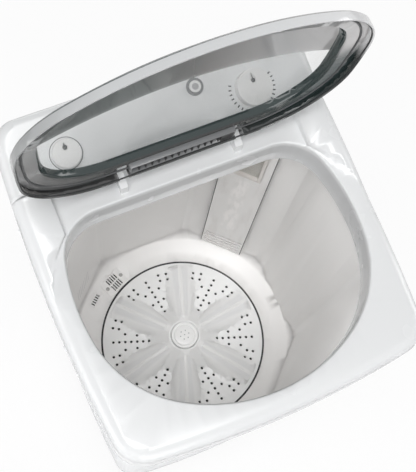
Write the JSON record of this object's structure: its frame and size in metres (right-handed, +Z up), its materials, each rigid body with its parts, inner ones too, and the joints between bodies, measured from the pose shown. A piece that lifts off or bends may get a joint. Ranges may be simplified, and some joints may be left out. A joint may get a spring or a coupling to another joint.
{
  "type": "semi-automatic washing machine",
  "caption": "Single-tub top-loading washing machine with a vaned pulsator, smoked hinged lid, timer console and a lint cassette.",
  "frame": {"origin": "on the floor, under the pulsator's axis", "axes": "+X to the right seen from the front, +Y to the rear where the console is, +Z up along the pulsator's axis"},
  "size_m": [0.4806, 0.5, 1.215],
  "materials": {
    "white_gloss": "glossy white moulding",
    "white_body": "white panel, slightly satin",
    "console_grey": "light grey moulding",
    "smoke": "smoked clear plastic",
    "tub_grey": "warm light grey, fine satin",
    "pulsator_grey": "light grey moulding",
    "cassette": "translucent whitish moulding",
    "mesh": "woven lint mesh",
    "knob_white": "light knob with a dark pointer",
    "button_grey": "grey button in its ring",
    "base_grey": "dark grey moulding",
    "rubber_black": "black rubber",
    "sheet_metal": "zinc coated sheet",
    "steel": "bare steel",
    "cast": "die cast",
    "motor": "black lacquer",
    "housing_dark": "black moulding",
    "drain_grey": "grey moulding"
  },
  "bodies": {
    "machine": {"base_frame": "base_grey", "base_feet": "rubber_black", "cabinet_shell": "white_body", "rear_cover": "sheet_metal", "wash_tub": "tub_grey", "filter_panel": "tub_grey", "drain_grille": "tub_grey", "overflow_grille": "tub_grey", "drain_grille_screws": "steel", "top_deck": "white_gloss", "control_panel": "console_grey", "rear_cover_screws": "steel", "deck_screws": "steel", "hinge_ear_right": "white_gloss", "hinge_ear_left": "white_gloss", "bearing_housing": "cast", "drive_belt": "rubber_black", "motor_body": "motor", "capacitor": "housing_dark", "motor_bracket": "sheet_metal", "drain_valve": "drain_grey", "drain_spigot": "drain_grey", "cord_gland": "rubber_black", "timer_body": "housing_dark", "selector_switch": "housing_dark", "button_bezel": "button_grey", "button_switch": "housing_dark"},
    "lid": {"lid_shell": "smoke", "lid_hinge_pins": "steel"},
    "pulsator_set": {"pulsator": "pulsator_grey", "pulsator_cap": "pulsator_grey", "drive_shaft": "steel", "driven_pulley": "cast"},
    "motor_rotor": {"motor_pulley": "cast"},
    "timer_dial": {"timer_knob": "knob_white"},
    "selector_dial": {"selector_knob": "knob_white"},
    "button": {"push_button": "button_grey"},
    "lint_cassette": {"filter_frame": "cassette", "filter_mesh": "mesh"}
  },
  "joints": [
    {"name": "lid_hinge", "type": "hinge", "parent": "machine", "child": "lid", "pos_m": [0, 0.136, 0.848], "axis": [1, 0, 0], "range_deg": [0, 85]},
    {"name": "pulsator_spin", "type": "hinge", "parent": "machine", "child": "pulsator_set", "pos_m": [0, 0, 0.195], "axis": [0, 0, 1], "continuous": true},
    {"name": "motor_spin", "type": "hinge", "parent": "machine", "child": "motor_rotor", "pos_m": [0.075, 0.13, 0.059], "axis": [0, 0, 1], "continuous": true},
    {"name": "timer_turn", "type": "hinge", "parent": "machine", "child": "timer_dial", "pos_m": [0.135, 0.182, 0.86758], "axis": [0, -0.3907, 0.9205], "range_deg": [-300, 0]},
    {"name": "selector_turn", "type": "hinge", "parent": "machine", "child": "selector_dial", "pos_m": [-0.145, 0.182, 0.86758], "axis": [0, -0.3907, 0.9205], "range_deg": [-60, 60]},
    {"name": "button_press", "type": "slide", "parent": "machine", "child": "button", "axis": [0, 0.3907, -0.9205], "range_m": [0, 0.0035], "stiffness_N_per_m": 400, "springref_m": -0.001},
    {"name": "cassette_tilt", "type": "hinge", "parent": "machine", "child": "lint_cassette", "pos_m": [0.14601, 0.14801, 0.61206], "axis": [0.7071, -0.7071, 0], "range_deg": [0, 35]}
  ],
  "couplings": [
    {"joint": "motor_spin", "follows": "pulsator_spin", "ratio": 3.0093}
  ]
}
